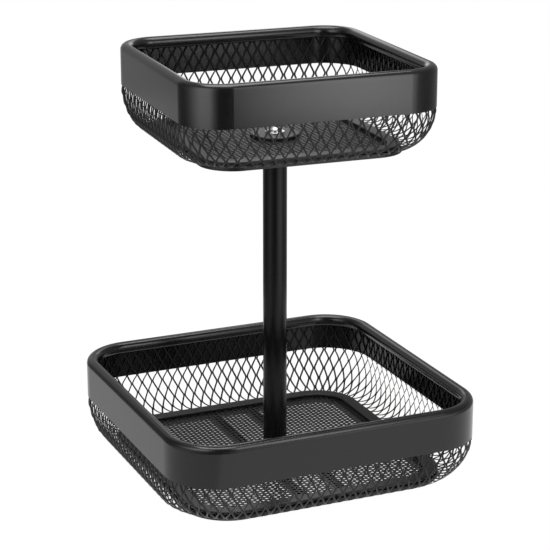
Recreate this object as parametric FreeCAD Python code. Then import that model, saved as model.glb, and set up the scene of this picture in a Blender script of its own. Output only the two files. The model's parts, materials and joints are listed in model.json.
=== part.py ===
import FreeCAD, Part

import math
import os

# Two square baskets on one pole, standing on the lower basket's foot ring.
lower_side = 250.0
upper_side = 197.5
lower_corner_radius = 41.0
upper_corner_radius = 31.0
tier_height = 67.4
upper_base = 256.0
upper_turn_angle = -2.9

# Rim: a sheet band whose top edge is curled round a wire.
band_height = 31.5
band_sheet = 1.0
bead_radius = 4.8
rim_wire_clearance = 0.3

# Wall: expanded metal, straight behind the band and drawn in below it to the floor.
mesh_sheet = 1.2
mesh_band_gap = 0.2
mesh_bead_gap = 0.2
bowl_inset = 11.2
bowl_power = 1.37
bowl_steps = 6
corner_flange = 4.0
flange_grip = 8.0
diamond_pitch = 19.0
diamond_rows = 3
strand_width = 3.0

# Floor: a perforated sheet and the wall's flange, held between a frame strip above and a foot ring below.
frame_inset = 21.0
frame_width = 10.0
frame_sheet = 2.2
frame_edge_radius = 0.7
floor_corner_step = 6.0
foot_inset = 20.0
foot_width = 15.0
foot_height = 3.0
foot_sheet = 1.0
foot_edge_radius = 0.9
floor_sheet = 0.8
floor_flange_gap = 0.5
net_pitch = 11.0
net_bar = 3.5
net_border = 6.0

# Straps under the floor, and the hub that the pole is screwed to.
strap_offset = 16.5
strap_width = 6.5
strap_sheet = 2.6
bracket_length = 40.0
hub_radius = 18.7
hub_height = 2.4
hub_edge_radius = 0.8

# Pole and fasteners.
pole_radius = 9.25
pole_wall = 1.2
plug_length = 14.0
plug_clearance = 0.05
screw_radius = 2.5
screw_clearance = 0.1
screw_grip = 10.0
bottom_head_radius = 4.6
bottom_head_height = 2.2
washer_radius = 7.5
washer_sheet = 1.2
washer_edge_radius = 0.3
top_head_radius = 4.6
top_head_height = 3.6
top_head_rim_height = 1.4
recess_length = 4.4
recess_width = 1.0
recess_depth = 1.5

# Cutting tools run this far past the faces that they cut.
overrun = 2.0

# Heights above a tier's own base, and sizes that several pieces share.
band_bottom = tier_height - band_height
bead_height = tier_height - bead_radius
mesh_inset = band_sheet + mesh_band_gap
mesh_top = tier_height - 2 * bead_radius - mesh_bead_gap
floor_top = foot_height + floor_sheet
frame_bottom = foot_height + max(mesh_sheet, floor_sheet)
hub_top = floor_top + hub_height
bracket_bottom = foot_height - strap_sheet
bore_radius = screw_radius + screw_clearance
pole_bottom = hub_top
pole_top = upper_base + bracket_bottom

ORIGIN = FreeCAD.Vector(0, 0, 0)
UP = FreeCAD.Vector(0, 0, 1)
QUARTER_TURN = 90


def rounded_square(side, radius, height):
    """A closed wire: a square of the given side with round corners, at one height."""
    half = side / 2
    flat = half - radius
    diagonal = flat + radius * math.sqrt(0.5)
    edges = []
    for quarter in range(4):
        start = FreeCAD.Vector(half, -flat, height)
        end = FreeCAD.Vector(half, flat, height)
        middle = FreeCAD.Vector(diagonal, diagonal, height)
        leave = FreeCAD.Vector(flat, half, height)
        for edge in (Part.makeLine(start, end), Part.Arc(end, middle, leave).toShape()):
            edge.rotate(ORIGIN, UP, QUARTER_TURN * quarter)
            edges.append(edge)
    return Part.Wire(edges)


def slab(side, radius, bottom, top):
    """A rounded square plate between two heights."""
    return Part.Face(rounded_square(side, radius, bottom)).extrude(UP * (top - bottom))


def rounded_outline(points, radii):
    """Edges of a closed outline in the XZ plane, each corner rounded to its own radius."""
    corners = []
    for index, radius in enumerate(radii):
        corner = FreeCAD.Vector(points[index][0], 0, points[index][1])
        before = FreeCAD.Vector(points[index - 1][0], 0, points[index - 1][1]) - corner
        following = points[(index + 1) % len(points)]
        after = FreeCAD.Vector(following[0], 0, following[1]) - corner
        before.normalize()
        after.normalize()
        half_angle = before.getAngle(after) / 2
        reach = radius / math.tan(half_angle)
        bisector = before + after
        bisector.normalize()
        middle = corner + bisector * (radius / math.sin(half_angle) - radius)
        corners.append((corner + before * reach, middle, corner + after * reach))
    edges = []
    for index, (enter, middle, leave) in enumerate(corners):
        if radii[index] > 0:
            edges.append(Part.Arc(enter, middle, leave).toShape())
        following = corners[(index + 1) % len(corners)][0]
        edges.append(Part.makeLine(leave, following))
    return edges


def ring(side, radius, section):
    """Carries a section, drawn at the +X side of a rounded square, once round that square."""
    run = side - 2 * radius
    straight = section.copy()
    straight.translate(FreeCAD.Vector(0, -run / 2, 0))
    straight = straight.extrude(FreeCAD.Vector(0, run, 0))
    corner = section.copy()
    corner.translate(FreeCAD.Vector(0, run / 2, 0))
    corner = corner.revolve(FreeCAD.Vector(run / 2, run / 2, 0), UP, QUARTER_TURN)
    pieces = []
    for quarter in range(4):
        for piece in (straight, corner):
            turned = piece.copy()
            turned.rotate(ORIGIN, UP, QUARTER_TURN * quarter)
            pieces.append(turned)
    return pieces[0].fuse(pieces[1:]).removeSplitter().Solids[0]


def rim_band(side, radius):
    """Sheet band with its top edge curled inward, three quarters of a turn."""
    centre = side / 2 - bead_radius

    def on_curl(reach, angle):
        turn = math.radians(angle)
        return FreeCAD.Vector(centre + reach * math.cos(turn), 0, bead_height + reach * math.sin(turn))

    def curl(reach):
        first = Part.Arc(on_curl(reach, 0), on_curl(reach, 90), on_curl(reach, 180)).toShape()
        last = Part.Arc(on_curl(reach, 180), on_curl(reach, 225), on_curl(reach, 270)).toShape()
        return [first, last]

    inner_reach = bead_radius - band_sheet
    outer_foot = FreeCAD.Vector(side / 2, 0, band_bottom)
    inner_foot = FreeCAD.Vector(side / 2 - band_sheet, 0, band_bottom)
    edges = [Part.makeLine(outer_foot, on_curl(bead_radius, 0))] + curl(bead_radius)
    edges.append(Part.makeLine(on_curl(bead_radius, 270), on_curl(inner_reach, 270)))
    edges += curl(inner_reach)
    edges.append(Part.makeLine(on_curl(inner_reach, 0), inner_foot))
    edges.append(Part.makeLine(inner_foot, outer_foot))
    return ring(side, radius, Part.Face(Part.Wire(Part.__sortEdges__(edges))))


def rim_wire(side, radius):
    """Round wire that fills the curl."""
    wire_radius = bead_radius - band_sheet - rim_wire_clearance
    centre = FreeCAD.Vector(side / 2 - bead_radius, 0, bead_height)
    circle = Part.makeCircle(wire_radius, centre, FreeCAD.Vector(0, 1, 0))
    return ring(side, radius, Part.Face(Part.Wire([circle])))


def floor_corner(radius):
    """Corner radius of the floor frame's outer edge."""
    return radius - floor_corner_step


def bowl_corner(side, radius):
    """Corner radius at the wall's lower edge, which leaves corner_flange round the frame's corner."""
    frame_half = side / 2 - frame_inset
    frame_reach = (frame_half - floor_corner(radius)) * math.sqrt(2) + floor_corner(radius)
    bowl_reach = (side / 2 - bowl_inset) * math.sqrt(2)
    return (bowl_reach - frame_reach - corner_flange) / (math.sqrt(2) - 1)


def bowl_section(side, radius, fall_share, inward):
    """Inset, height and corner radius of the wall's skin: 0 is the band's edge, 1 the wall's foot."""
    angle = math.pi / 2 * fall_share
    draw_share = (1 - math.cos(angle)) ** bowl_power
    skin_radius = radius - mesh_inset
    inset = mesh_inset + (bowl_inset - mesh_inset) * draw_share + inward * math.cos(angle)
    height = band_bottom - (band_bottom - foot_height) * math.sin(angle) + inward * math.sin(angle)
    corner = skin_radius + (bowl_corner(side, radius) - skin_radius) * draw_share - inward * math.cos(angle)
    return inset, height, corner


def bowl(side, radius, inward, top):
    """Solid inside the wall's outer skin, or inside a skin that lies inward of it."""
    sections = []
    for step in range(bowl_steps + 1):
        inset, height, corner = bowl_section(side, radius, step / bowl_steps, inward)
        sections.append(rounded_square(side - 2 * inset, corner, height))
    drawn = Part.makeLoft(sections, True, False)
    inset = mesh_inset + inward
    return drawn.fuse(slab(side - 2 * inset, radius - inset, band_bottom, top))


def on_quarter(half, corner, share):
    """Point of a rounded square, at a share of the way from the middle of side +X to that of side +Y."""
    flat = half - corner
    arc = corner * math.pi / 2
    run = share * (2 * flat + arc)
    if run < flat:
        return half, run
    if run > flat + arc:
        return 2 * flat + arc - run, half
    angle = (run - flat) / corner
    return flat + corner * math.cos(angle), flat + corner * math.sin(angle)


def on_wall(side, radius, share, row):
    """Point of the wall's skin on a row of bonds: row 0 is the band's edge, diamond_rows the wall's foot."""
    fall_share = row / diamond_rows
    inset, height, corner = bowl_section(side, radius, min(max(fall_share, 0), 1), 0)
    if fall_share < 0:
        height -= fall_share * (band_bottom - foot_height) * math.pi / 2
    if fall_share > 1:
        flange_share = row - diamond_rows
        inset += (frame_inset - bowl_inset) * flange_share
        corner += (floor_corner(radius) - corner) * flange_share
    x, y = on_quarter(side / 2 - inset, corner, share)
    return FreeCAD.Vector(x, y, height)


def diamond(side, radius, share, reach_share, row):
    """Prism that cuts one diamond through the wall, square to it, and leaves half a strand all round."""
    left = on_wall(side, radius, share - reach_share, row)
    right = on_wall(side, radius, share + reach_share, row)
    upper = on_wall(side, radius, share, row - 1)
    lower = on_wall(side, radius, share, row + 1)
    middle = on_wall(side, radius, share, row)
    normal = (right - left).cross(upper - lower)
    normal.normalize()
    corners = [point - normal * (point - middle).dot(normal) for point in (left, upper, right, lower)]
    outline = Part.makePolygon(corners + corners[:1]).makeOffset2D(-strand_width / 2, 2)
    depth = normal * diamond_pitch
    outline.translate(depth / -2)
    return Part.Face(outline).extrude(depth)


def diamonds(side, radius):
    """Staggered rows of diamonds, from behind the band's edge to the floor frame."""
    across = round((side - 2 * radius + radius * math.pi / 2) / diamond_pitch)
    prisms = []
    for row in range(diamond_rows + 1):
        for place in range(across):
            share = (place + row % 2 / 2) / across
            prism = diamond(side, radius, share, 1 / (2 * across), row)
            for quarter in range(4):
                turned = prism.copy()
                turned.rotate(ORIGIN, UP, QUARTER_TURN * quarter)
                prisms.append(turned)
    return prisms


def wall_mesh(side, radius):
    """Wall of open diamonds with a flange at its foot that the frame and the foot ring grip."""
    opening_inset = frame_inset + flange_grip
    opening_corner = floor_corner(radius) - flange_grip
    opening = slab(side - 2 * opening_inset, opening_corner, 0, band_bottom)
    outer = bowl(side, radius, 0, mesh_top)
    inner = bowl(side, radius, mesh_sheet, mesh_top + overrun)
    shell = outer.cut(inner).cut(opening).removeSplitter()
    return shell.cut(diamonds(side, radius)).Solids[0]


def floor_frame(side, radius):
    """Flat strip ring over the edges of the wall flange and the floor sheet."""
    frame_side = side - 2 * frame_inset
    outer = frame_side / 2
    inner = outer - frame_width
    top = frame_bottom + frame_sheet
    corners = [(outer, frame_bottom), (outer, top), (inner, top), (inner, frame_bottom)]
    outline = rounded_outline(corners, [0, frame_edge_radius, frame_edge_radius, 0])
    return ring(frame_side, floor_corner(radius), Part.Face(Part.Wire(outline)))


def foot_side(side):
    return side - 2 * foot_inset


def foot_corner(radius):
    """The foot ring's corner runs parallel to the frame's."""
    return floor_corner(radius) + frame_inset - foot_inset


def foot_ring(side, radius):
    """Sheet channel, open below, that the floor rests on."""
    outer = foot_side(side) / 2
    inner = outer - foot_width
    web = foot_height - foot_sheet
    corners = [
        (outer, 0), (outer, foot_height), (inner, foot_height), (inner, 0),
        (inner + foot_sheet, 0), (inner + foot_sheet, web),
        (outer - foot_sheet, web), (outer - foot_sheet, 0),
    ]
    radii = [0, foot_edge_radius, foot_edge_radius, 0, 0, 0, 0, 0]
    outline = rounded_outline(corners, radii)
    return ring(foot_side(side), foot_corner(radius), Part.Face(Part.Wire(outline)))


def floor_mesh(side, radius):
    """Floor: a sheet with square gaps, whole at its border and round the screw."""
    edge_inset = frame_inset + flange_grip + floor_flange_gap
    net_side = side - 2 * edge_inset
    net_corner = floor_corner(radius) - flange_grip - floor_flange_gap
    field_half = net_side / 2 - net_border
    field_corner = max(net_corner - net_border, 0)
    gap = net_pitch - net_bar
    count = int(field_half / net_pitch)
    wires = [rounded_square(net_side, net_corner, foot_height)]
    wires.append(Part.Wire([Part.makeCircle(bore_radius, FreeCAD.Vector(0, 0, foot_height), UP)]))
    for column in range(-count, count):
        for row in range(-count, count):
            x = (column + 0.5) * net_pitch
            y = (row + 0.5) * net_pitch
            far_x = max(abs(x) + gap / 2 - field_half + field_corner, 0)
            far_y = max(abs(y) + gap / 2 - field_half + field_corner, 0)
            outside = math.hypot(far_x, far_y) > field_corner
            at_screw = max(abs(x), abs(y)) - gap / 2 < bore_radius
            if outside or at_screw:
                continue
            corner = FreeCAD.Vector(x - gap / 2, y - gap / 2, foot_height)
            wires.append(Part.makePlane(gap, gap, corner).OuterWire)
    return Part.makeFace(wires, "Part::FaceMakerBullseye").extrude(UP * floor_sheet)


def strap(side, hand):
    """Flat bar under the floor sheet, from the front of the foot ring to its back."""
    length = foot_side(side) - 2 * foot_width
    corner = FreeCAD.Vector(hand * strap_offset - strap_width / 2, -length / 2, bracket_bottom)
    return Part.makeBox(strap_width, length, strap_sheet, corner)


def hub_disc():
    """Round plate on top of the floor sheet."""
    disc = Part.makeCylinder(hub_radius, hub_height, FreeCAD.Vector(0, 0, floor_top))
    rim = [edge for edge in disc.Edges if abs(edge.BoundBox.ZMin - hub_top) < hub_edge_radius / 2]
    disc = disc.makeFillet(hub_edge_radius, rim)
    return disc.cut(Part.makeCylinder(bore_radius, hub_height + 2 * overrun, UP * (floor_top - overrun)))


def hub_bracket(countersunk):
    """Plate between the straps, bored for the screw and countersunk where its head is below."""
    width = 2 * strap_offset - strap_width
    corner = FreeCAD.Vector(-width / 2, -bracket_length / 2, bracket_bottom)
    plate = Part.makeBox(width, bracket_length, strap_sheet, corner)
    bore = Part.makeCylinder(bore_radius, strap_sheet + 2 * overrun, UP * (bracket_bottom - overrun))
    plate = plate.cut(bore)
    if countersunk:
        mouth = bottom_head_radius + screw_clearance
        plate = plate.cut(Part.makeCone(mouth, bore_radius, bottom_head_height, UP * bracket_bottom))
    return plate


def tier(side, radius, countersunk):
    """All pieces of one basket, standing on its own base."""
    return {
        "rim_band": rim_band(side, radius),
        "rim_wire": rim_wire(side, radius),
        "wall_mesh": wall_mesh(side, radius),
        "floor_frame": floor_frame(side, radius),
        "floor_mesh": floor_mesh(side, radius),
        "foot_ring": foot_ring(side, radius),
        "strap_left": strap(side, -1),
        "strap_right": strap(side, 1),
        "hub_disc": hub_disc(),
        "hub_bracket": hub_bracket(countersunk),
    }


def tube(outer, inner, bottom, top):
    length = top - bottom
    bore = Part.makeCylinder(inner, length + 2 * overrun, UP * (bottom - overrun))
    return Part.makeCylinder(outer, length, UP * bottom).cut(bore)


def pole_plug(bottom):
    """Threaded plug, flush with an end of the pole."""
    plug_radius = pole_radius - pole_wall - plug_clearance
    return tube(plug_radius, bore_radius, bottom, bottom + plug_length)


def bottom_screw():
    """Countersunk screw, up through the lower hub into the pole."""
    head = Part.makeCone(bottom_head_radius, screw_radius, bottom_head_height, UP * bracket_bottom)
    shank = Part.makeCylinder(screw_radius, pole_bottom + screw_grip - bracket_bottom, UP * bracket_bottom)
    return head.fuse(shank).removeSplitter().Solids[0]


def top_screw():
    """Domed cross-recess screw, down through the washer and the upper hub into the pole."""
    seat = upper_base + hub_top + washer_sheet
    top = seat + top_head_height
    rim = seat + top_head_rim_height
    bow = top_head_height - top_head_rim_height
    bow_radius = (top_head_radius ** 2 + bow ** 2) / (2 * bow)
    middle_reach = top_head_radius / 2
    middle_drop = bow_radius - math.sqrt(bow_radius ** 2 - middle_reach ** 2)
    crown = FreeCAD.Vector(0, 0, top)
    middle = FreeCAD.Vector(middle_reach, 0, top - middle_drop)
    edge = FreeCAD.Vector(top_head_radius, 0, rim)
    foot = FreeCAD.Vector(top_head_radius, 0, seat)
    outline = [
        Part.Arc(crown, middle, edge).toShape(),
        Part.makeLine(edge, foot),
        Part.makeLine(foot, UP * seat),
        Part.makeLine(UP * seat, crown),
    ]
    head = Part.Face(Part.Wire(outline)).revolve(ORIGIN, UP, 4 * QUARTER_TURN)
    for turn in (0, QUARTER_TURN):
        corner = FreeCAD.Vector(-recess_length / 2, -recess_width / 2, top - recess_depth)
        slot = Part.makeBox(recess_length, recess_width, recess_depth + overrun, corner)
        slot.rotate(ORIGIN, UP, turn)
        head = head.cut(slot)
    tip = pole_top - screw_grip
    shank = Part.makeCylinder(screw_radius, seat - tip, UP * tip)
    return Part.makeSolid(head.fuse(shank).removeSplitter().Shells[0])


def top_washer():
    bottom = upper_base + hub_top
    washer = tube(washer_radius, bore_radius, bottom, bottom + washer_sheet)
    upper = bottom + washer_sheet
    rim = [edge for edge in washer.Edges if edge.BoundBox.XMax > bore_radius * 2
           and abs(edge.BoundBox.ZMin - upper) < washer_edge_radius / 2]
    return washer.makeFillet(washer_edge_radius, rim)


def build():
    nodes = {}
    for name, shape in tier(lower_side, lower_corner_radius, True).items():
        nodes["lower_" + name] = shape
    for name, shape in tier(upper_side, upper_corner_radius, False).items():
        shape.rotate(ORIGIN, UP, upper_turn_angle)
        shape.translate(UP * upper_base)
        nodes["upper_" + name] = shape
    nodes["pole"] = tube(pole_radius, pole_radius - pole_wall, pole_bottom, pole_top)
    nodes["pole_bottom_plug"] = pole_plug(pole_bottom)
    nodes["pole_top_plug"] = pole_plug(pole_top - plug_length)
    nodes["bottom_screw"] = bottom_screw()
    nodes["top_screw"] = top_screw()
    nodes["top_washer"] = top_washer()
    return nodes


os.makedirs("parts", exist_ok=True)
for node, shape in build().items():
    print(node, shape.isValid(), len(shape.Solids), round(shape.Volume), shape.BoundBox)
    shape.exportStep("parts/" + node + ".step")
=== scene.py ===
import json
import math

import bmesh
import bpy
import numpy as np
from mathutils import Matrix, Vector

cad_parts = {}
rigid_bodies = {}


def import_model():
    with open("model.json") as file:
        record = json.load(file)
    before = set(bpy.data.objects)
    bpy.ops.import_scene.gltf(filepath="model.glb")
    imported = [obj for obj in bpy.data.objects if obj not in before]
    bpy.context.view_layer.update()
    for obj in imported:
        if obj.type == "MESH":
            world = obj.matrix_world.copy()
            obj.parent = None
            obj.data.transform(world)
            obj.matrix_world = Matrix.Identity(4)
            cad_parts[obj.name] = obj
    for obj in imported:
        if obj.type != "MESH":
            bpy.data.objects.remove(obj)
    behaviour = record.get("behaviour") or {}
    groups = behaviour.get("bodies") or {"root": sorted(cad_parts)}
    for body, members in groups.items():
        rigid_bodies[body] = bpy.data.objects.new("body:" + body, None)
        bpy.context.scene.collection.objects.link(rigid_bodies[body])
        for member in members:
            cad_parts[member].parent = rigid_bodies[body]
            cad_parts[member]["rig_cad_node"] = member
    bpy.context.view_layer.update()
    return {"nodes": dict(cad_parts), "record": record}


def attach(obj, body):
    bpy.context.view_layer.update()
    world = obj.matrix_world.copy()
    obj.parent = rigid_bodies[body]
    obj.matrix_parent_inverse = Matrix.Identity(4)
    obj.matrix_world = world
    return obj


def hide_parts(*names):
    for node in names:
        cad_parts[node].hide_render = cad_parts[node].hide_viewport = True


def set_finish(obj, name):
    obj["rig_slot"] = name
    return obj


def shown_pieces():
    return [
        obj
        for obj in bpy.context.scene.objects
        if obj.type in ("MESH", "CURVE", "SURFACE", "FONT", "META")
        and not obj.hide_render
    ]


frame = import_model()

nodes = frame["nodes"]

# The two tiers, in metres, as in the CAD frame. The turn about the pole is in degrees.
TIERS = {
    "lower": {"body": "stand", "side": 0.250, "corner": 0.041, "base": 0.0, "turn": 0.0},
    "upper": {"body": "upper_basket", "side": 0.1975, "corner": 0.031, "base": 0.256, "turn": -2.9},
}

# Section of a wall: straight behind the band, then a bowl that draws in, then a flange on the floor frame.
MESH_TOP = 0.0576
BAND_BOTTOM = 0.0359
HELD_INSET = 0.0016
BULGE_HEIGHT = 0.006
BOWL_INSET = 0.0150
BOWL_POWER = 1.31
BOWL_FOOT = 0.0033
CORNER_POWER = 0.9
CORNER_FLANGE = 0.0021
FLANGE_REACH = 0.0225
HELD_SAMPLES = 60
BOWL_SAMPLES = 240
FLANGE_SAMPLES = 40

# Floor frame, which holds the edges of wall and floor.
FRAME_INSET = 0.021
FLOOR_CORNER_STEP = 0.006
FLANGE_GRIP = 0.008
FLOOR_FLANGE_GAP = 0.0005

# Expanded metal of the walls: strips that zigzag and touch their neighbours at the bonds.
STRIPS = {"lower": 205, "upper": 163}
STRIP_START = {"lower": -0.277, "upper": -0.5}
STRIP_WIDTH = 0.0015
STRIP_SHEET = 0.00045
STRIP_BEVEL_SHARE = 0.3
STRAND_DEPTH = 0.0005
RINGS_PER_ROW = 8
BOND_GAIN = 1.28
DRAW_SHARE = 0.35

# Rows of diamonds, which get shorter between two lengths down the wall.
ROW_PITCH = {"lower": 0.00785, "upper": 0.0076}
ROW_START = {"lower": -0.385, "upper": 0.674}
ROW_SHRINK_SHARE = {"lower": 0.0, "upper": 0.2}
ROW_SHRINK_FROM = 0.033
ROW_SHRINK_TO = 0.050

# Tilt of the strips on the side and rear walls, which fades out between two lengths down the wall.
STRIP_TILT = math.radians(32)
REAR_TILT = math.radians(-7)
LEVEL_FROM = {"left": 0.046, "right": 0.033}
LEVEL_TO = {"left": 0.058, "right": 0.050}

# Perforated sheet of the floors.
HOLE_PITCH = 0.0042
HOLE_RADIUS = 0.0015
HOLE_SIDES = 12
FLOOR_TOP = 0.0038
FLOOR_SHEET = 0.00076

# Least divisor, distance at which points are welded, and step that finds a surface's direction.
TINY = 1e-9
WELD_DISTANCE = 1e-6
PROBE_STEP = 0.0002

# Dark and light tints.
BLACK = ((0.006, 0.006, 0.0065), (0.009, 0.009, 0.0095))
TUBE_BLACK = ((0.002, 0.002, 0.0022), (0.003, 0.003, 0.0032))
FLOOR_BLACK = ((0.008, 0.008, 0.0085), (0.012, 0.012, 0.0125))
CHROME = ((0.72, 0.72, 0.74), (0.86, 0.86, 0.87))
STEEL = ((0.42, 0.42, 0.43), (0.55, 0.55, 0.56))

# Powder coats by material slot: tints, range of roughness, scale and depth of the grain, specular level.
COATS = {
    "satin_black_sheet": (BLACK, (0.17, 0.22), 1800, 0.00005, 0.5),
    "black_expanded_mesh": (BLACK, (0.34, 0.46), 2200, 0.0001, 0.4),
    "satin_black_strip": (BLACK, (0.30, 0.38), 1800, 0.0001, 0.5),
    "black_floor_mesh": (FLOOR_BLACK, (0.32, 0.42), 2000, 0.0001, 0.5),
    "black_strap": (BLACK, (0.4, 0.55), 1500, 0.0001, 0.5),
    "gloss_black_tube": (TUBE_BLACK, (0.2, 0.26), 1800, 0.00005, 0.3),
}
# Bright metals by material slot: tints, range of roughness.
METALS = {
    "chrome_fastener": (CHROME, (0.08, 0.2)),
    "bare_steel": (STEEL, (0.3, 0.45)),
}

# Scale and detail of the noises, the part of a noise's range that is used, and the strength of the grain.
COAT_TINT_NOISE = (400, 3)
COAT_GLOSS_NOISE = (700, 4)
METAL_TINT_NOISE = (300, 3)
METAL_GLOSS_NOISE = (900, 4)
GRAIN_DETAIL = 2
NOISE_SPAN = (0.3, 0.7)
UNIT_SPAN = (0, 1)
GRAIN_STRENGTH = 0.25

# Sockets of the Mix node in its colour form, where names repeat.
MIX_FACTOR = 0
MIX_FIRST = 6
MIX_SECOND = 7
MIX_RESULT = 2

# Camera, from the photograph's perspective. Angles are in degrees.
IMAGE_SIDE = 550
FOCAL_PIXELS = 1952.5
CAMERA_AZIMUTH = -23.71
CAMERA_ELEVATION = 17.51
CAMERA_DISTANCE = 1.50885
CAMERA_TARGET = Vector((0, 0, 0.150))
CAMERA_RIGHT = 0.00005
CAMERA_UP = -0.00073
SENSOR = 36.0
CLIP_START = 0.05
CLIP_END = 50

# White floor and world.
FLOOR_SIZE = 8.0
FLOOR_DROP = 0.0002
FLOOR_WHITE = (0.8, 0.8, 0.8, 1)
FLOOR_FAINT = (0.04, 0.04, 0.04, 1)
FLOOR_GLOW = 0.985
WORLD_WHITE = (1, 1, 1, 1)
WORLD_DIFFUSE = 0.25

# Painted shade on the floor under the lower foot, as a lower glow: level at the middle, slopes per metre, and
# a rounded square.
SHADE_LEVEL = 0.74
SHADE_SLOPES = {"X": 1.9, "Y": -3.2}
SHADE_LEAST = 0.08
SHADE_HALF = 0.101
SHADE_ROUNDING = 5
SHADE_EDGE = (0.85, 1.3)

# Softboxes: place, aim, width, height and watts.
SOFTBOXES = {
    "key_left": ((-1.6, -0.6, 1.5), (0, 0, 0.15), 1.6, 1.2, 8),
    "top": ((0.05, 0.1, 1.6), (0, 0, 0.3), 1.0, 1.0, 15.7),
    "fill_right": ((1.4, -1.4, 0.9), (0, 0, 0.2), 1.2, 1.2, 5),
}

# Round screen of three storeys that only mirrors see: brightness by azimuth in degrees from the front.
SCREEN_RADIUS = 0.40
SCREEN_SILL = 0.150
SCREEN_SPLIT = 0.218
SCREEN_TOP = 0.60
SCREEN_STEP = 2
HIGH_GLOW = {
    -170: 0.44, -152: 0.41, -146: 0.37, -142: 0.13, -116: 0.13, -102: 0.26, -90: 0.68, -79: 1.4, -66: 2.4,
    -47: 2.4, -38: 0.8, -30: 0.08, 1: 0.08, 3: 1.3, 6: 2.2, 12: 3.2, 18: 3.9, 25: 3.3, 30: 1.6, 38: 0.5,
    50: 0.3, 62: 0.25, 138: 0.3, 147: 1.4, 156: 2.0, 164: 1.4, 173: 0.44,
}
LOW_GLOW = {
    -163: 0.55, -150: 0.55, -138: 0.15, -105: 0.10, -94: 0.13, -73: 0.20, -43: 0.12, -24: 0.10, -4: 0.20,
    15: 0.36, 36: 0.34, 60: 0.22, 75: 0.20, 120: 0.30, 160: 0.40,
}
SILL_GLOW = {
    -163: 0.55, -138: 0.20, -104: 0.22, -88: 0.6, -78: 0.9, -62: 0.85, -48: 0.45, -36: 0.18, -20: 0.15,
    -8: 0.4, 4: 1.1, 18: 1.9, 32: 1.9, 44: 1.4, 56: 0.6, 66: 0.5, 90: 0.42, 160: 0.40,
}
SILL_FOOT_SHARE = 0.55

# Level sheets that only mirrors see: two corners, height and brightness.
SHEETS = {
    "ceiling": ((-4.0, -4.0), (4.0, 4.0), 1.7, 0.4),
    # Dim patch of floor left of the lower tier, seen in reflections only: painted shade on the floor that the
    # lower band mirrors.
    "left_ground": ((-0.50, -0.50), (-0.127, 0.40), 0.0005, 0.75),
}


def perimeter(half, corner):
    """Length round a rounded square."""
    return 8 * (half - corner) + 2 * math.pi * corner


def section(half, corner, run):
    """Points of rounded squares at lengths run, clockwise from the middle of the rear side."""
    flat = half - corner
    arc = corner * math.pi / 2
    quarter = 2 * flat + arc
    turns = np.floor(run / quarter)
    local = run - turns * quarter
    angle = np.clip((local - flat) / corner, 0, math.pi / 2)
    x = np.minimum(local, flat) + corner * np.sin(angle)
    y = flat + corner * np.cos(angle) - np.maximum(local - flat - arc, 0)
    count = turns.astype(int) % 4
    px = np.choose(count, [x, y, -x, -y])
    py = np.choose(count, [y, -x, -y, x])
    return px, py


def carried_run(top_half, top_corner, half, corner, run):
    """Length on a lower section of a point that moved straight inward from length run on the top section."""
    top_flat = top_half - top_corner
    top_quarter = 2 * top_flat + top_corner * math.pi / 2
    flat = half - corner
    quarter = 2 * flat + corner * math.pi / 2
    turns = np.floor(run / top_quarter)
    local = run - turns * top_quarter
    mirrored = local > top_quarter / 2
    local = np.where(mirrored, top_quarter - local, local)
    past = np.clip((local - flat) / corner, 0, 1)
    on_side = np.where(local <= flat, local, flat + corner * np.arcsin(past))
    turn = np.clip((local - top_flat) / top_corner, 0, math.pi / 4)
    shift = top_flat - flat
    lean = shift * (np.cos(turn) + np.sin(turn))
    reach = -lean + np.sqrt(np.maximum(lean ** 2 - 2 * shift ** 2 + corner ** 2, 0))
    angle = np.arctan2(shift + reach * np.sin(turn), shift + reach * np.cos(turn))
    on_corner = flat + corner * angle
    found = np.where(local <= top_flat, on_side, on_corner)
    found = np.where(mirrored, quarter - found, found)
    return turns * quarter + found


def corner_reach(half, corner):
    """Distance from the middle of a rounded square to its corner, along the diagonal."""
    return (half - corner) * math.sqrt(2) + corner


def wall_profile(tier):
    """Length, inset, height and corner radius along the strands, from under the bead to the floor frame."""
    side, radius = tier["side"], tier["corner"]
    floor_corner = radius - FLOOR_CORNER_STEP
    top_reach = corner_reach(side / 2, radius)
    foot_reach = corner_reach(side / 2 - FRAME_INSET, floor_corner) + CORNER_FLANGE
    rows = []
    for height in np.linspace(MESH_TOP, BAND_BOTTOM, HELD_SAMPLES, endpoint=False):
        rows.append((HELD_INSET, height, radius - HELD_INSET))
    for angle in np.linspace(0, math.pi / 2, BOWL_SAMPLES):
        fall = 1 - math.cos(angle)
        skin = BOWL_INSET * fall ** BOWL_POWER
        reach = top_reach - (top_reach - foot_reach) * fall ** CORNER_POWER
        corner = ((side / 2 - skin) * math.sqrt(2) - reach) / (math.sqrt(2) - 1)
        drop = (BAND_BOTTOM - BOWL_FOOT) * math.sin(angle)
        held = max(0, 1 - drop / BULGE_HEIGHT) ** 2
        depth = STRAND_DEPTH + (HELD_INSET - STRAND_DEPTH) * held
        inward = depth * math.cos(angle)
        rows.append((skin + inward, BAND_BOTTOM - drop + depth * math.sin(angle), corner - inward))
    for inset in np.linspace(BOWL_INSET, FLANGE_REACH, FLANGE_SAMPLES)[1:]:
        share = (inset - BOWL_INSET) / (FLANGE_REACH - BOWL_INSET)
        rows.append((inset, BOWL_FOOT + STRAND_DEPTH, corner + (floor_corner - corner) * share))
    rows = np.array(rows)
    steps = np.hypot(np.diff(rows[:, 0]), np.diff(rows[:, 1]))
    length = np.concatenate([[0], np.cumsum(steps)])
    return length, rows[:, 0], rows[:, 1], rows[:, 2]


def mesh_object(name, points, faces, smooth=True):
    """New object in the scene from points and faces."""
    mesh = bpy.data.meshes.new(name)
    mesh.from_pydata([tuple(p) for p in points], [], [tuple(f) for f in faces])
    mesh.validate()
    mesh.polygons.foreach_set("use_smooth", [smooth] * len(mesh.polygons))
    obj = bpy.data.objects.new(name, mesh)
    bpy.context.scene.collection.objects.link(obj)
    return obj


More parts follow.
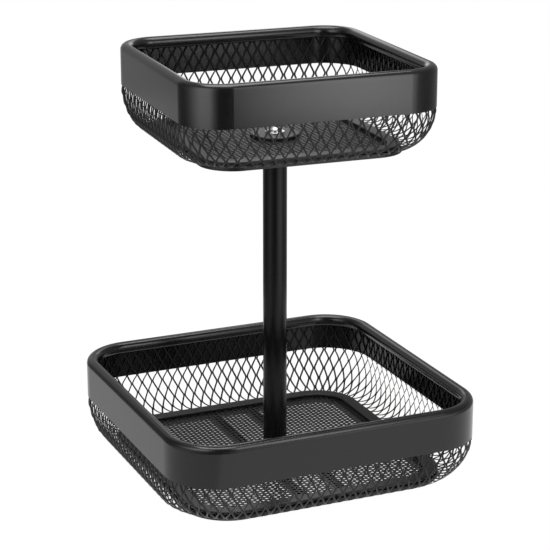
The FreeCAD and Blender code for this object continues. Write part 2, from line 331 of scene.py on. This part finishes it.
def place(obj, tier):
    """Turns and lifts a piece that was made on its tier's own base."""
    turn = Matrix.Rotation(math.radians(tier["turn"]), 4, "Z")
    obj.data.transform(Matrix.Translation((0, 0, tier["base"])) @ turn)
    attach(obj, tier["body"])


def wall_strips(label):
    """Expanded-metal wall of one tier as swept, tilted strips."""
    tier = TIERS[label]
    length, inset, height, corner = wall_profile(tier)
    half = tier["side"] / 2 - inset
    shrink = np.clip((length - ROW_SHRINK_FROM) / (ROW_SHRINK_TO - ROW_SHRINK_FROM), 0, 1)
    pitch = ROW_PITCH[label] * (1 - ROW_SHRINK_SHARE[label] * shrink)
    rows = np.concatenate([[0], np.cumsum(np.diff(length) / ((pitch[1:] + pitch[:-1]) / 2))])
    count = STRIPS[label]
    top_half, top_corner = half[0], corner[0]
    around = perimeter(top_half, top_corner)
    spacing = around / count
    strip = np.arange(count)[:, None]
    home = (strip + STRIP_START[label]) * spacing
    home_x, home_y = section(top_half, top_corner, home % around)
    leaning = (STRIP_TILT * home_x + REAR_TILT * np.maximum(home_y, 0)) / np.hypot(home_x, home_y)
    swing = spacing / 2 - STRIP_WIDTH / 2 * np.cos(leaning)
    lag = ROW_START[label] - home / around + strip
    rings = int(rows[-1] * RINGS_PER_ROW) + 2
    lead = (-lag * RINGS_PER_ROW) % 1 - 1
    at_row = np.clip((np.arange(rings)[None, :] + lead) / RINGS_PER_ROW, 0, rows[-1])
    along = np.interp(at_row, rows, length)
    zigzag = np.arcsin(np.sin(math.pi * (at_row + lag))) * 2 / math.pi
    wave = np.clip(BOND_GAIN * zigzag, -1, 1)

    def surface(run, at):
        """Points of the wall's middle surface, for top lengths run and profile lengths at."""
        h, c, z = (np.interp(at, length, values) for values in (half, corner, height))
        carried = carried_run(top_half, top_corner, h, c, run)
        scale = perimeter(h, c) / around
        x, y = section(h, c, carried * (1 - DRAW_SHARE) + run * scale * DRAW_SHARE)
        return np.stack([x, y, np.broadcast_to(z, x.shape)], -1)

    run = (home + swing * wave) % around
    centre = surface(run, along)
    ahead = surface((run + PROBE_STEP) % around, along) - centre
    below = surface(run, np.minimum(along + PROBE_STEP, length[-1]))
    above = surface(run, np.maximum(along - PROBE_STEP, 0))
    normal = np.cross(ahead, above - below)
    normal /= np.linalg.norm(normal, axis=-1, keepdims=True)
    level_from = np.where(home_x < 0, LEVEL_FROM["left"], LEVEL_FROM["right"])
    level_to = np.where(home_x < 0, LEVEL_TO["left"], LEVEL_TO["right"])
    level = np.clip((along - level_from) / (level_to - level_from), 0, 1)[..., None]
    tilt = leaning[..., None] * (1 - level)
    centre = centre + normal * (wave[..., None] * STRIP_WIDTH / 2 * -np.sin(tilt))
    tangent = np.gradient(centre, axis=1)
    tangent /= np.maximum(np.linalg.norm(tangent, axis=-1, keepdims=True), TINY)
    across = np.cross(tangent, normal)
    across /= np.linalg.norm(across, axis=-1, keepdims=True)
    across *= np.sign(np.sum(across * ahead, -1, keepdims=True))
    lift = np.cross(across, tangent)
    lift *= np.sign(np.sum(lift * normal, -1, keepdims=True))
    wide = across * np.cos(tilt) + lift * np.sin(tilt)
    thick = lift * np.cos(tilt) - across * np.sin(tilt)
    w, t = STRIP_WIDTH / 2, STRIP_SHEET / 2
    bevel = STRIP_WIDTH * STRIP_BEVEL_SHARE / 2
    outline = [(w, 0), (w - bevel, t), (-w + bevel, t), (-w, 0), (-w + bevel, -t), (w - bevel, -t)]
    corners = [centre + wide * a + thick * b for a, b in outline]
    points = np.stack(corners, 2).reshape(-1, 3)
    sides = len(outline)
    index = np.arange(count * rings * sides).reshape(count, rings, sides)
    faces = []
    for k in range(sides):
        n = (k + 1) % sides
        quads = np.stack([index[:, :-1, k], index[:, :-1, n], index[:, 1:, n], index[:, 1:, k]], -1)
        faces += quads.reshape(-1, 4).tolist()
    caps = index[:, 0, ::-1].tolist() + index[:, -1, :].tolist()
    obj = mesh_object(label + "_wall_strands", points, faces + caps)
    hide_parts(label + "_wall_mesh")
    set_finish(obj, "black_expanded_mesh")
    place(obj, tier)


def floor_sheet(label):
    """Perforated floor of one tier: hexagonal cells, each with a round hole, plain along the border."""
    tier = TIERS[label]
    edge = FRAME_INSET + FLANGE_GRIP + FLOOR_FLANGE_GAP
    half = tier["side"] / 2 - edge
    corner = tier["corner"] - FLOOR_CORNER_STEP - FLANGE_GRIP - FLOOR_FLANGE_GAP
    flat = half - corner
    column_pitch = HOLE_PITCH * math.sqrt(0.75)
    columns = int(half / column_pitch) + 1
    lines = int(half / HOLE_PITCH) + 1

    def outside(x, y):
        """How far a point lies past the border."""
        dx, dy = np.maximum(np.abs(x) - flat, 0), np.maximum(np.abs(y) - flat, 0)
        return np.hypot(dx, dy) - corner

    def clamped(points):
        """Points drawn back to the border."""
        inner = np.clip(points, -flat, flat)
        away = points - inner
        reach = np.linalg.norm(away, axis=-1, keepdims=True)
        keep = np.minimum(1, corner / np.maximum(reach, TINY))
        return inner + away * keep

    cell_reach = HOLE_PITCH / math.sqrt(3)
    angles = np.arange(HOLE_SIDES) * 2 * math.pi / HOLE_SIDES
    ring_reach = np.where(np.arange(HOLE_SIDES) % 2 == 0, cell_reach, HOLE_PITCH / 2)
    cell = np.stack([np.cos(angles) * ring_reach, np.sin(angles) * ring_reach], -1)
    hole = np.stack([np.cos(angles), np.sin(angles)], -1) * HOLE_RADIUS
    points, faces = [], []
    for column in range(-columns, columns + 1):
        for line in range(-lines, lines + 1):
            x = column * column_pitch
            y = (line + (column % 2) / 2) * HOLE_PITCH
            if outside(x, y) > cell_reach:
                continue
            first = len(points)
            points += [(px, py, FLOOR_TOP) for px, py in clamped(cell + (x, y))]
            if outside(x, y) > -cell_reach:
                faces.append(range(first, first + HOLE_SIDES))
                continue
            inner = len(points)
            points += [(px, py, FLOOR_TOP) for px, py in hole + (x, y)]
            for k in range(HOLE_SIDES):
                n = (k + 1) % HOLE_SIDES
                faces.append((first + k, first + n, inner + n, inner + k))
    obj = mesh_object(label + "_floor_sheet", points, faces, smooth=False)
    thicken(obj.data, FLOOR_SHEET, FLOOR_TOP)
    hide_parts(label + "_floor_mesh")
    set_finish(obj, "black_floor_mesh")
    place(obj, tier)


def thicken(mesh, sheet, top):
    """Joins the cells of a flat mesh and gives it thickness, down from its top."""
    work = bmesh.new()
    work.from_mesh(mesh)
    bmesh.ops.remove_doubles(work, verts=work.verts, dist=WELD_DISTANCE)
    bmesh.ops.dissolve_degenerate(work, dist=WELD_DISTANCE, edges=work.edges)
    bmesh.ops.solidify(work, geom=work.faces[:], thickness=sheet)
    highest = max(vertex.co.z for vertex in work.verts)
    bmesh.ops.translate(work, verts=work.verts, vec=(0, 0, top - highest))
    bmesh.ops.recalc_face_normals(work, faces=work.faces)
    work.to_mesh(mesh)
    work.free()


def surface_material(name):
    """New material, its node tree and its shader."""
    material = bpy.data.materials.new(name)
    material.use_nodes = True
    tree = material.node_tree
    return material, tree, tree.nodes["Principled BSDF"]


def bare_material(name):
    """New material with nothing in its node tree but the output, whose socket is given back."""
    material = bpy.data.materials.new(name)
    material.use_nodes = True
    tree = material.node_tree
    tree.nodes.clear()
    return material, tree, tree.nodes.new("ShaderNodeOutputMaterial").inputs["Surface"]


def noise(tree, scale, detail):
    """Noise in the piece's own coordinates."""
    coordinates = tree.nodes.new("ShaderNodeTexCoord")
    texture = tree.nodes.new("ShaderNodeTexNoise")
    texture.inputs["Scale"].default_value = scale
    texture.inputs["Detail"].default_value = detail
    tree.links.new(coordinates.outputs["Object"], texture.inputs["Vector"])
    return texture.outputs["Fac"]


def ranged(tree, value, source, target):
    """Value with its source range laid onto the target range."""
    span = tree.nodes.new("ShaderNodeMapRange")
    for name, number in zip(("From Min", "From Max", "To Min", "To Max"), (*source, *target)):
        span.inputs[name].default_value = number
    tree.links.new(value, span.inputs["Value"])
    return span.outputs["Result"]


def math_node(tree, operation, first, second):
    """Output of a math node. Each input is a socket or a number."""
    node = tree.nodes.new("ShaderNodeMath")
    node.operation = operation
    for slot, value in enumerate((first, second)):
        if isinstance(value, (int, float)):
            node.inputs[slot].default_value = value
        else:
            tree.links.new(value, node.inputs[slot])
    return node.outputs[0]


def uneven(tree, shader, tints, rough, tint_noise, gloss_noise):
    """Mottles a shader's colour between two tints, and its roughness within a range."""
    mix = tree.nodes.new("ShaderNodeMix")
    mix.data_type = "RGBA"
    mix.inputs[MIX_FIRST].default_value = (*tints[0], 1)
    mix.inputs[MIX_SECOND].default_value = (*tints[1], 1)
    mottle = ranged(tree, noise(tree, *tint_noise), NOISE_SPAN, UNIT_SPAN)
    gloss = ranged(tree, noise(tree, *gloss_noise), NOISE_SPAN, rough)
    tree.links.new(mottle, mix.inputs[MIX_FACTOR])
    tree.links.new(mix.outputs[MIX_RESULT], shader.inputs["Base Color"])
    tree.links.new(gloss, shader.inputs["Roughness"])


def powder_coat(name, tints, rough, grain, depth, specular):
    """Black powder coat: slight mottling, uneven gloss and a fine orange-peel grain."""
    material, tree, shader = surface_material(name)
    shader.inputs["Specular IOR Level"].default_value = specular
    uneven(tree, shader, tints, rough, COAT_TINT_NOISE, COAT_GLOSS_NOISE)
    bump = tree.nodes.new("ShaderNodeBump")
    bump.inputs["Strength"].default_value = GRAIN_STRENGTH
    bump.inputs["Distance"].default_value = depth
    tree.links.new(noise(tree, grain, GRAIN_DETAIL), bump.inputs["Height"])
    tree.links.new(bump.outputs["Normal"], shader.inputs["Normal"])
    return material


def plated(name, tints, rough):
    """Bright metal with slight mottling and uneven gloss."""
    material, tree, shader = surface_material(name)
    shader.inputs["Metallic"].default_value = 1
    uneven(tree, shader, tints, rough, METAL_TINT_NOISE, METAL_GLOSS_NOISE)
    return material


def paint(materials):
    """Gives every CAD node and piece the material of its slot."""
    slots = {part["node"]: part["material_slot"] for part in frame["record"]["subparts"]}
    for name, obj in nodes.items():
        obj.data.materials.clear()
        obj.data.materials.append(materials[slots[name]])
    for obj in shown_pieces():
        if "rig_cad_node" not in obj:
            obj.data.materials.append(materials[obj["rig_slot"]])


def seen_directly(tree):
    """1 for camera, glossy and transmission rays, 0 for the rest."""
    path = tree.nodes.new("ShaderNodeLightPath").outputs
    seen = math_node(tree, "MAXIMUM", path["Is Camera Ray"], path["Is Glossy Ray"])
    return math_node(tree, "MAXIMUM", seen, path["Is Transmission Ray"])


def away_from_foot(tree):
    """1 on the open floor. Inside the lower foot the floor's glow is cut down as painted shade, less so
    towards the front right.
    """
    coordinates = tree.nodes.new("ShaderNodeTexCoord")
    axes = tree.nodes.new("ShaderNodeSeparateXYZ")
    tree.links.new(coordinates.outputs["Object"], axes.inputs[0])
    shade = SHADE_LEVEL
    reach = 0
    for axis, slope in SHADE_SLOPES.items():
        shade = math_node(tree, "ADD", shade, math_node(tree, "MULTIPLY", axes.outputs[axis], slope))
        part = math_node(tree, "DIVIDE", math_node(tree, "ABSOLUTE", axes.outputs[axis], 0), SHADE_HALF)
        reach = math_node(tree, "ADD", reach, math_node(tree, "POWER", part, SHADE_ROUNDING))
    lit = math_node(tree, "MINIMUM", math_node(tree, "MAXIMUM", shade, SHADE_LEAST), 1)
    return math_node(tree, "MAXIMUM", ranged(tree, reach, SHADE_EDGE, UNIT_SPAN), lit)


def white_floor():
    """Pale floor that keeps the object's shadow, with painted shade on its glow inside the lower foot."""
    half = FLOOR_SIZE / 2
    corners = [(-half, -half, 0), (half, -half, 0), (half, half, 0), (-half, half, 0)]
    obj = mesh_object("floor", corners, [(0, 1, 2, 3)], smooth=False)
    obj.location.z = -FLOOR_DROP
    material, tree, surface = bare_material("floor_white")
    diffuse = tree.nodes.new("ShaderNodeBsdfDiffuse")
    diffuse.inputs["Color"].default_value = FLOOR_WHITE
    faint = tree.nodes.new("ShaderNodeBsdfDiffuse")
    faint.inputs["Color"].default_value = FLOOR_FAINT
    glow = tree.nodes.new("ShaderNodeEmission")
    glow.inputs["Strength"].default_value = FLOOR_GLOW
    added = tree.nodes.new("ShaderNodeAddShader")
    tree.links.new(glow.outputs[0], added.inputs[0])
    tree.links.new(faint.outputs[0], added.inputs[1])
    mix = tree.nodes.new("ShaderNodeMixShader")
    # The glow that camera and mirrors see is painted darker inside the lower foot: painted shade.
    bright = math_node(tree, "MULTIPLY", seen_directly(tree), away_from_foot(tree))
    for slot, socket in enumerate((bright, diffuse.outputs[0], added.outputs[0])):
        tree.links.new(socket, mix.inputs[slot])
    tree.links.new(mix.outputs[0], surface)
    obj.data.materials.append(material)


def white_world():
    """World of the floor's white, fainter as a light."""
    world = bpy.data.worlds.new("studio")
    bpy.context.scene.world = world
    world.use_nodes = True
    tree = world.node_tree
    background = tree.nodes["Background"]
    background.inputs["Color"].default_value = WORLD_WHITE
    strength = ranged(tree, seen_directly(tree), UNIT_SPAN, (WORLD_DIFFUSE, 1))
    tree.links.new(strength, background.inputs["Strength"])


def softbox(name, place_at, aim_at, width, height, watts):
    """Soft rectangular lamp that the camera doesn't see."""
    light = bpy.data.lights.new(name, "AREA")
    light.shape = "RECTANGLE"
    light.size = width
    light.size_y = height
    light.energy = watts
    obj = bpy.data.objects.new(name, light)
    bpy.context.scene.collection.objects.link(obj)
    obj.location = place_at
    obj.rotation_euler = (Vector(aim_at) - Vector(place_at)).to_track_quat("-Z", "Y").to_euler()
    obj.visible_camera = False


def mirror_stage(name, points, faces, glow):
    """Glowing stage piece that is seen in reflections only, with a brightness per point."""
    obj = mesh_object(name, points, faces)
    obj.visible_camera = False
    obj.visible_diffuse = False
    obj.visible_transmission = False
    obj.visible_shadow = False
    obj.data.attributes.new("glow", "FLOAT", "POINT").data.foreach_set("value", glow)
    material, tree, surface = bare_material(name)
    level = tree.nodes.new("ShaderNodeAttribute")
    level.attribute_name = "glow"
    emission = tree.nodes.new("ShaderNodeEmission")
    tree.links.new(level.outputs["Fac"], emission.inputs["Strength"])
    tree.links.new(emission.outputs[0], surface)
    obj.data.materials.append(material)


def screen(name, low, high, levels, foot_share=1):
    """One storey of the round screen, with a share of its brightness at the foot."""
    points, faces, glow = [], [], []
    for azimuth in range(0, 360, SCREEN_STEP):
        angle = math.radians(azimuth)
        x, y = SCREEN_RADIUS * math.sin(angle), -SCREEN_RADIUS * math.cos(angle)
        points += [(x, y, low), (x, y, high)]
        level = np.interp(azimuth, list(levels), list(levels.values()), period=360)
        glow += [level * foot_share, level]
    count = len(points)
    for k in range(0, count, 2):
        faces.append((k, (k + 2) % count, (k + 3) % count, k + 1))
    mirror_stage(name, points, faces, glow)


def mirror_sheet(name, low, high, height, brightness):
    """Level sheet between two corners, seen in reflections only."""
    (left, front), (right, rear) = low, high
    points = [(left, front, height), (right, front, height), (right, rear, height), (left, rear, height)]
    mirror_stage(name, points, [(0, 1, 2, 3)], [brightness] * len(points))


def camera():
    """Camera that looks at the target from the photograph's angle, moved a little sideways and down."""
    azimuth, elevation = math.radians(CAMERA_AZIMUTH), math.radians(CAMERA_ELEVATION)
    back = Vector((
        math.sin(azimuth) * math.cos(elevation),
        -math.cos(azimuth) * math.cos(elevation),
        math.sin(elevation),
    ))
    right = Vector((math.cos(azimuth), math.sin(azimuth), 0))
    up = back.cross(right)
    data = bpy.data.cameras.new("camera")
    data.sensor_width = SENSOR
    data.lens = FOCAL_PIXELS * SENSOR / IMAGE_SIDE
    data.clip_start = CLIP_START
    data.clip_end = CLIP_END
    obj = bpy.data.objects.new("camera", data)
    bpy.context.scene.collection.objects.link(obj)
    obj.location = CAMERA_TARGET + back * CAMERA_DISTANCE + right * CAMERA_RIGHT + up * CAMERA_UP
    obj.rotation_euler = (-back).to_track_quat("-Z", "Y").to_euler()
    bpy.context.scene.camera = obj


for label in TIERS:
    wall_strips(label)
    floor_sheet(label)

finishes = {name: powder_coat(name, *look) for name, look in COATS.items()}
finishes |= {name: plated(name, *look) for name, look in METALS.items()}
paint(finishes)

white_floor()
white_world()
for name, setting in SOFTBOXES.items():
    softbox(name, *setting)
screen("screen_sill", 0, SCREEN_SILL, SILL_GLOW, SILL_FOOT_SHARE)
screen("screen_low", SCREEN_SILL, SCREEN_SPLIT, LOW_GLOW)
screen("screen_high", SCREEN_SPLIT, SCREEN_TOP, HIGH_GLOW)
for name, setting in SHEETS.items():
    mirror_sheet(name, *setting)
camera()

bpy.context.scene.view_settings.view_transform = "Standard"
